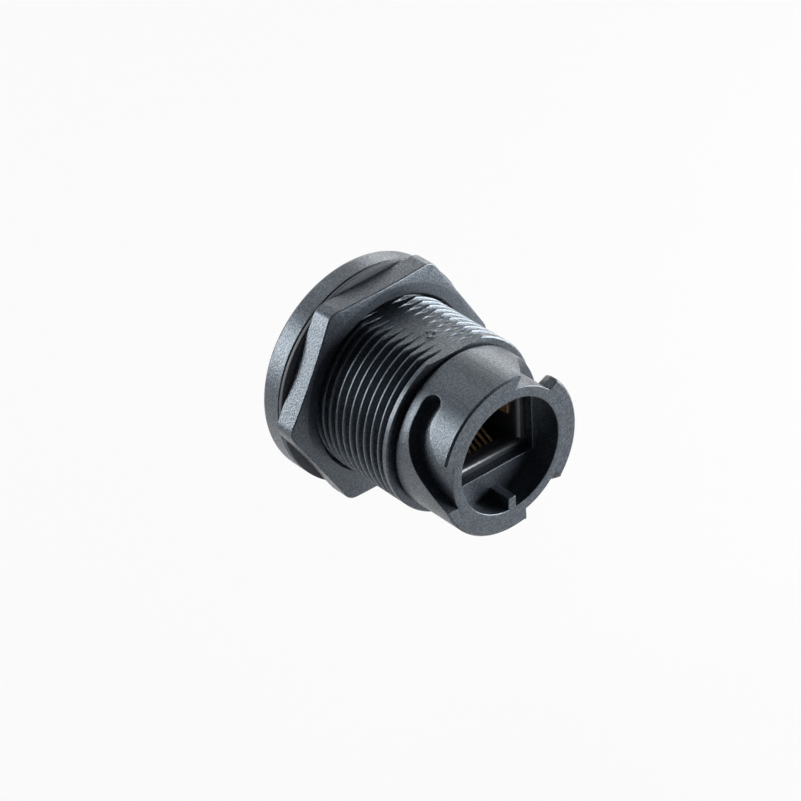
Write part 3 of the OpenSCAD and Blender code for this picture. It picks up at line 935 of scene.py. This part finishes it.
# Camera at the photograph's angle, placed in metres
view = {"place": (-0.2454, -0.3137, 0.2675), "right": (0.7589, -0.6493, -0.0503),
        "up": (0.3995, 0.4031, 0.8234), "towards": (-0.5144, -0.6448, 0.5653),
        "lens": 151.7, "sensor": 36, "clip": (0.01, 20)}
cameraData = bpy.data.cameras.new("camera")
cameraData.lens = view["lens"]
cameraData.sensor_width = view["sensor"]
cameraData.clip_start, cameraData.clip_end = view["clip"]
camera = bpy.data.objects.new("camera", cameraData)
axes = Matrix((view["right"], view["up"], view["towards"])).transposed()
camera.matrix_world = Matrix.Translation(view["place"]) @ axes.to_4x4()
scene.collection.objects.link(camera)
scene.camera = camera
print("camera placed")


# Pale floor and pale sky, white to the camera and through clear things; gloss sees them white behind the
# object and to its right, and dim in front and high up, as a dark card would make them; just under the object
# the floor's glow that gloss sees is cut back as a painted shadow; lengths in metres
studio = {"floorDrop": 0.03, "floorHalf": 3, "floorColour": (0.86, 0.86, 0.86), "floorRough": 0.9,
          "floorGlow": 0.88, "floorBehind": (0.8, 0.6, 0.0), "floorFade": (-0.08, -0.02),
          "underShadowFade": (0.05, 0.078), "skyStrength": 0.05, "skyBehind": (0.8, 0.6, -0.6),
          "skyFade": (-0.5, 0.7)}
white = (1, 1, 1, 1)


# Rays that see white: camera and transmission rays fully, and glossy rays by how far they look behind
def whiteRays(tree, place, behind, fade):
    seen, through, glossy = [addNode(tree, "ShaderNodeLightPath", output=f"Is {kind} Ray")
                             for kind in ("Camera", "Transmission", "Glossy")]
    along = addNode(tree, "ShaderNodeVectorMath", {"operation": "DOT_PRODUCT"},
                    {0: place, 1: behind}, "Value")
    return seen + through, glossy * ramped(tree, along, fade, 1.0, "SMOOTHSTEP")


def makeFloor():
    d = studio
    low = cadBox[0][2] - d["floorDrop"]
    half = d["floorHalf"]
    mesh = bpy.data.meshes.new("floor")
    mesh.from_pydata([(-half, -half, low), (half, -half, low), (half, half, low), (-half, half, low)], [],
                     [(0, 1, 2, 3)])
    floor = bpy.data.objects.new("floor", mesh)
    scene.collection.objects.link(floor)
    material, tree = newMaterial("floorPaint")
    place = objectPlace(tree)
    plain, gloss = whiteRays(tree, place, d["floorBehind"], d["floorFade"])
    # Painted shadow: near the object the floor's glow that gloss sees fades out, as shade just under it
    away = addNode(tree, "ShaderNodeVectorMath", {"operation": "LENGTH"}, {0: place}, "Value")
    clear = ramped(tree, away, d["underShadowFade"], 1.0, "SMOOTHSTEP")
    paint = addNode(tree, "ShaderNodeBsdfPrincipled", None,
                    {"Base Color": (*d["floorColour"], 1), "Roughness": d["floorRough"]})
    glow = addNode(tree, "ShaderNodeEmission", None, {"Color": white, "Strength": 1.0})
    share = (plain + gloss * clear) * d["floorGlow"]
    shown = addNode(tree, "ShaderNodeMixShader", None, {0: share, 1: paint, 2: glow})
    addNode(tree, "ShaderNodeOutputMaterial", None, {"Surface": shown})
    mesh.materials.append(material)


def makeSky():
    d = studio
    world = bpy.data.worlds.new("studio")
    scene.world = world
    world.use_nodes = True
    tree = world.node_tree
    tree.nodes.clear()
    ray = addNode(tree, "ShaderNodeTexCoord", output="Generated")
    plain, gloss = whiteRays(tree, ray, d["skyBehind"], d["skyFade"])
    dim = addNode(tree, "ShaderNodeBackground", None, {"Color": white, "Strength": d["skyStrength"]})
    bright = addNode(tree, "ShaderNodeBackground", None, {"Color": white, "Strength": 1.0})
    shown = addNode(tree, "ShaderNodeMixShader", None, {0: plain + gloss, 1: dim, 2: bright})
    addNode(tree, "ShaderNodeOutputWorld", None, {"Surface": shown})


makeFloor()
makeSky()


# Soft boxes aimed at the object: place in millimetres, size in millimetres, watts
softBoxes = {
    "backTop": {"place": (420, 388, 180), "size": (320, 160), "power": 0.5},
    "leftSide": {"place": (-378, 439, 157), "size": (260, 360), "power": 2.8},
    "leftTop": {"place": (-20, 404, 443), "size": (300, 300), "power": 0.4},
    "rightSide": {"place": (302, -155, 15), "size": (220, 200), "power": 2.0},
    "rightFront": {"place": (301, -394, 68), "size": (160, 160), "power": 1.2},
    "frontFill": {"place": (-208, -290, 602), "size": (320, 320), "power": 0.15},
}
lampAim = Vector((0, -12, 0)) * mm
for name, box in softBoxes.items():
    lampData = bpy.data.lights.new(name, "AREA")
    lampData.shape = "RECTANGLE"
    lampData.size = box["size"][0] * mm
    lampData.size_y = box["size"][1] * mm
    lampData.energy = box["power"]
    lamp = bpy.data.objects.new(name, lampData)
    lamp.location = Vector(box["place"]) * mm
    lamp.rotation_euler = (lampAim - lamp.location).to_track_quat("-Z", "Y").to_euler()
    scene.collection.objects.link(lamp)
print("studio lit:", len(softBoxes), "soft boxes")

scene.view_settings.view_transform = "Standard"
bpy.context.view_layer.update()
print("scene ready")
